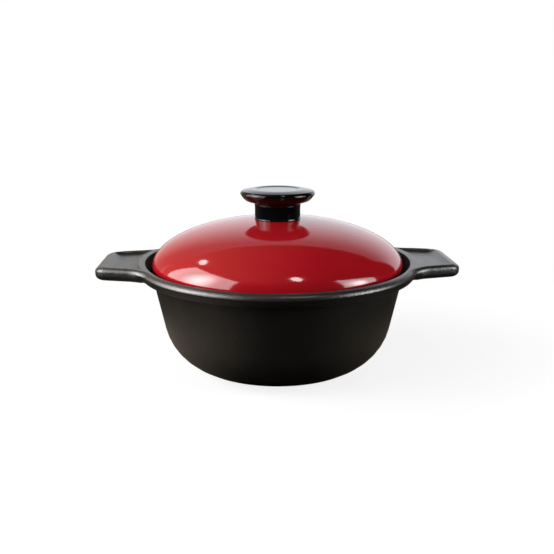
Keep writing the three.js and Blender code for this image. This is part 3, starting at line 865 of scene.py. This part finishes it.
def floor_paper():
    """Matt white paper: it takes the pot's shadow close by, and is plain white further off."""
    material, tree = new_material("floor_paper")
    place = add(tree, "TexCoord").outputs["Object"]
    reach = add(tree, "VectorMath", {0: place}, operation="LENGTH")
    shadow_paper_end, white_paper_start = 0.16, 0.42
    far = add(tree, "MapRange", {
        "Value": reach.outputs["Value"], "From Min": shadow_paper_end, "From Max": white_paper_start,
    }, interpolation_type="SMOOTHSTEP")
    colour = add(tree, "Mix", {
        "Factor": far.outputs["Result"], COLOUR_A: linear("#7c7c7c"), COLOUR_B: linear("#000000"),
    }, data_type="RGBA")
    glow = add(tree, "MapRange", {"Value": far.outputs["Result"], "To Min": 0.82, "To Max": 1.0})
    strength = add(tree, "Math", {
        0: glow.outputs["Result"], 1: seen_directly(tree)}, operation="MULTIPLY")
    shader = add(tree, "BsdfPrincipled", {
        "Base Color": colour.outputs[MIXED_COLOUR], "Roughness": 1.0, "Specular IOR Level": 0.0,
        "Emission Color": linear("#ffffff"), "Emission Strength": strength.outputs[0]})
    add(tree, "OutputMaterial", {"Surface": shader.outputs[0]})
    return material


def dim_table():
    """The dark table under the set, with some window light close to the pot's sides and behind it."""
    material, tree = new_material("dim_table")
    place = add(tree, "TexCoord").outputs["Object"]
    across = add(tree, "SeparateXYZ", {"Vector": place})
    side_start, side_full = 0.02, 0.14
    left_level, right_level, behind_level = 0.33, 0.11, 0.08
    left = add(tree, "MapRange", {
        "Value": across.outputs["X"],
        "From Min": -side_full, "From Max": -side_start, "To Min": left_level, "To Max": 0.0,
    }, interpolation_type="SMOOTHSTEP")
    right = add(tree, "MapRange", {
        "Value": across.outputs["X"],
        "From Min": side_start, "From Max": side_full, "To Min": 0.0, "To Max": right_level,
    }, interpolation_type="SMOOTHSTEP")
    sides = add(tree, "Math", {
        0: left.outputs["Result"], 1: right.outputs["Result"]}, operation="ADD")
    reach = add(tree, "VectorMath", {0: place}, operation="LENGTH")
    near_end, far_start = 0.11, 0.18
    near = add(tree, "MapRange", {
        "Value": reach.outputs["Value"],
        "From Min": near_end, "From Max": far_start, "To Min": 1.0, "To Max": 0.0,
    }, interpolation_type="SMOOTHSTEP")
    close = add(tree, "Math", {
        0: sides.outputs[0], 1: near.outputs["Result"]}, operation="MULTIPLY")
    behind = add(tree, "MapRange", {
        "Value": across.outputs["Y"],
        "From Min": -0.05, "From Max": 0.25, "To Min": 0.0, "To Max": behind_level,
    }, interpolation_type="SMOOTHSTEP")
    level = add(tree, "Math", {
        0: close.outputs[0], 1: behind.outputs["Result"]}, operation="ADD")
    shader = add(tree, "Emission", {"Color": linear("#ffe8cc"), "Strength": level.outputs[0]})
    add(tree, "OutputMaterial", {"Surface": shader.outputs[0]})
    return material


def dim_room():
    """The unlit room round the set: black, with a little warm light on the left, both high up and at
    the back."""
    material, tree = new_material("dim_room")
    place = add(tree, "TexCoord").outputs["Object"]
    across = add(tree, "SeparateXYZ", {"Vector": place})
    brightest = 0.4
    leftwards = add(tree, "MapRange", {
        "Value": across.outputs["X"],
        "From Min": -2.2, "From Max": 1.0, "To Min": brightest, "To Max": 0.0,
    }, interpolation_type="SMOOTHSTEP")
    upwards = add(tree, "MapRange", {
        "Value": across.outputs["Z"], "From Min": 1.6, "From Max": 2.7,
    }, interpolation_type="SMOOTHSTEP")
    backwards = add(tree, "MapRange", {
        "Value": across.outputs["Y"], "From Min": -0.4, "From Max": 1.0,
    }, interpolation_type="SMOOTHSTEP")
    either = add(tree, "Math", {
        0: upwards.outputs["Result"], 1: backwards.outputs["Result"]}, operation="MAXIMUM")
    level = add(tree, "Math", {
        0: leftwards.outputs["Result"], 1: either.outputs[0]}, operation="MULTIPLY")
    shader = add(tree, "Emission", {"Color": linear("#ffd9b0"), "Strength": level.outputs[0]})
    add(tree, "OutputMaterial", {"Surface": shader.outputs[0]})
    return material


def lit_backdrop():
    """White paper behind the set, lit from low down and from the right: it fades upwards and to the
    left, where its light is warmer."""
    material, tree = new_material("lit_backdrop")
    place = add(tree, "TexCoord").outputs["Object"]
    across = add(tree, "SeparateXYZ", {"Vector": place})
    foot_level, top_level, left_share, dimmest = 1.3, 0.37, 0.3, 0.35
    upwards = add(tree, "MapRange", {
        "Value": across.outputs["Z"],
        "From Min": 0.35, "From Max": 1.6, "To Min": foot_level, "To Max": top_level,
    }, interpolation_type="SMOOTHSTEP")
    sideways = add(tree, "MapRange", {
        "Value": across.outputs["X"],
        "From Min": -1.35, "From Max": 0.05, "To Min": left_share, "To Max": 1.0,
    }, interpolation_type="SMOOTHSTEP")
    lit = add(tree, "Math", {
        0: upwards.outputs["Result"], 1: sideways.outputs["Result"]}, operation="MULTIPLY")
    level = add(tree, "Math", {0: lit.outputs[0], 1: dimmest}, operation="MAXIMUM")
    colour = add(tree, "Mix", {
        "Factor": sideways.outputs["Result"], COLOUR_A: linear("#ffdcb8"), COLOUR_B: linear("#f6f9ff"),
    }, data_type="RGBA")
    shader = add(tree, "Emission", {
        "Color": colour.outputs[MIXED_COLOUR], "Strength": level.outputs[0]})
    add(tree, "OutputMaterial", {"Surface": shader.outputs[0]})
    return material


def make_floor():
    """The pale floor, and just above it the dark table that only the gloss shows."""
    turns = np.linspace(0, 2 * math.pi, FLOOR_SIDES, endpoint=False)
    points = [(FLOOR_RADIUS * math.cos(t), FLOOR_RADIUS * math.sin(t), 0) for t in turns]
    stage_piece("floor", points, [tuple(range(FLOOR_SIDES))], floor_paper())
    card = [(-TABLE_HALF, TABLE_FRONT, TABLE_LIFT), (TABLE_HALF, TABLE_FRONT, TABLE_LIFT),
            (TABLE_HALF, TABLE_BACK, TABLE_LIFT), (-TABLE_HALF, TABLE_BACK, TABLE_LIFT)]
    only_reflect(stage_piece("table", card, [(0, 1, 2, 3)], dim_table()))


def make_room():
    """A dark shell above and in front, and the lit backdrop that fills its opening at the back."""
    points, faces = [], []
    widest = math.degrees(math.atan2(BACKDROP_HALF, BACKDROP_AWAY))
    for turn in np.linspace(-180, 180, ROOM_COLUMNS + 1):
        top = math.degrees(math.atan(BACKDROP_HIGH / BACKDROP_AWAY * math.cos(math.radians(turn))))
        low = top if abs(turn) < widest else ROOM_LOW
        for rise in np.linspace(low, 90, ROOM_ROWS + 1):
            points.append(tuple(ROOM_RADIUS * c for c in direction(turn, rise)))
    for i in range(ROOM_COLUMNS):
        for k in range(ROOM_ROWS):
            here = i * (ROOM_ROWS + 1) + k
            there = here + ROOM_ROWS + 1
            faces.append((here, there, there + 1, here + 1))
    room = stage_piece("dark_room", points, faces, dim_room())
    room.location = AIM
    only_reflect(room)
    x, y, z = BACKDROP_HALF, BACKDROP_AWAY, BACKDROP_HIGH
    paper = [(-x, y, -AIM.z), (x, y, -AIM.z), (x, y, z), (-x, y, z)]
    backdrop = stage_piece("backdrop", paper, [(0, 1, 2, 3)], lit_backdrop())
    backdrop.location = AIM
    only_reflect(backdrop)
    # The backdrop lights the set as well
    backdrop.visible_diffuse = True


def make_world():
    """A faint fill all round, and plain white where the background is seen."""
    world = bpy.data.worlds.new("studio")
    bpy.context.scene.world = world
    world.use_nodes = True
    tree = world.node_tree
    tree.nodes.clear()
    fill = add(tree, "Background", {"Color": linear("#ffffff"), "Strength": WORLD_FILL})
    white = add(tree, "Background", {"Color": linear("#ffffff"), "Strength": 1.0})
    either = add(tree, "MixShader", {
        0: seen_directly(tree), 1: fill.outputs[0], 2: white.outputs[0]})
    add(tree, "OutputWorld", {"Surface": either.outputs[0]})


# Camera, fitted to the photograph's rim, lid, handles and base
PHOTO_WIDTH_PIXELS = 554
FOCAL_LENGTH_PIXELS = 739.94
SENSOR_WIDTH = 36
NEAR_CLIP = 0.01
CAMERA_YAW = math.radians(-2.532)
CAMERA_RISE = math.radians(13.932)
CAMERA_DISTANCE = 0.575
# The point that it looks at, in millimetres to the left of the pot's axis and below its rim
TARGET_LEFT = 0.44
TARGET_BELOW_RIM = 14.15


def make_camera():
    """The camera at the photograph's angle and distance."""
    lens = bpy.data.cameras.new("camera")
    lens.sensor_width = SENSOR_WIDTH
    lens.lens = SENSOR_WIDTH * FOCAL_LENGTH_PIXELS / PHOTO_WIDTH_PIXELS
    lens.clip_start = NEAR_CLIP
    camera = bpy.data.objects.new("camera", lens)
    bpy.context.scene.collection.objects.link(camera)
    bpy.context.scene.camera = camera
    cos, sin = math.cos(CAMERA_YAW), math.sin(CAMERA_YAW)
    back = Vector((sin * math.cos(CAMERA_RISE), -cos * math.cos(CAMERA_RISE), math.sin(CAMERA_RISE)))
    target = Vector((-TARGET_LEFT * cos, -TARGET_LEFT * sin, POT_HEIGHT - TARGET_BELOW_RIM)) * MM
    camera.rotation_mode = "QUATERNION"
    camera.rotation_quaternion = back.to_track_quat("Z", "Y")
    camera.location = target + back * CAMERA_DISTANCE


make_floor()
make_room()
make_world()
make_camera()
bpy.context.scene.view_settings.view_transform = "Standard"
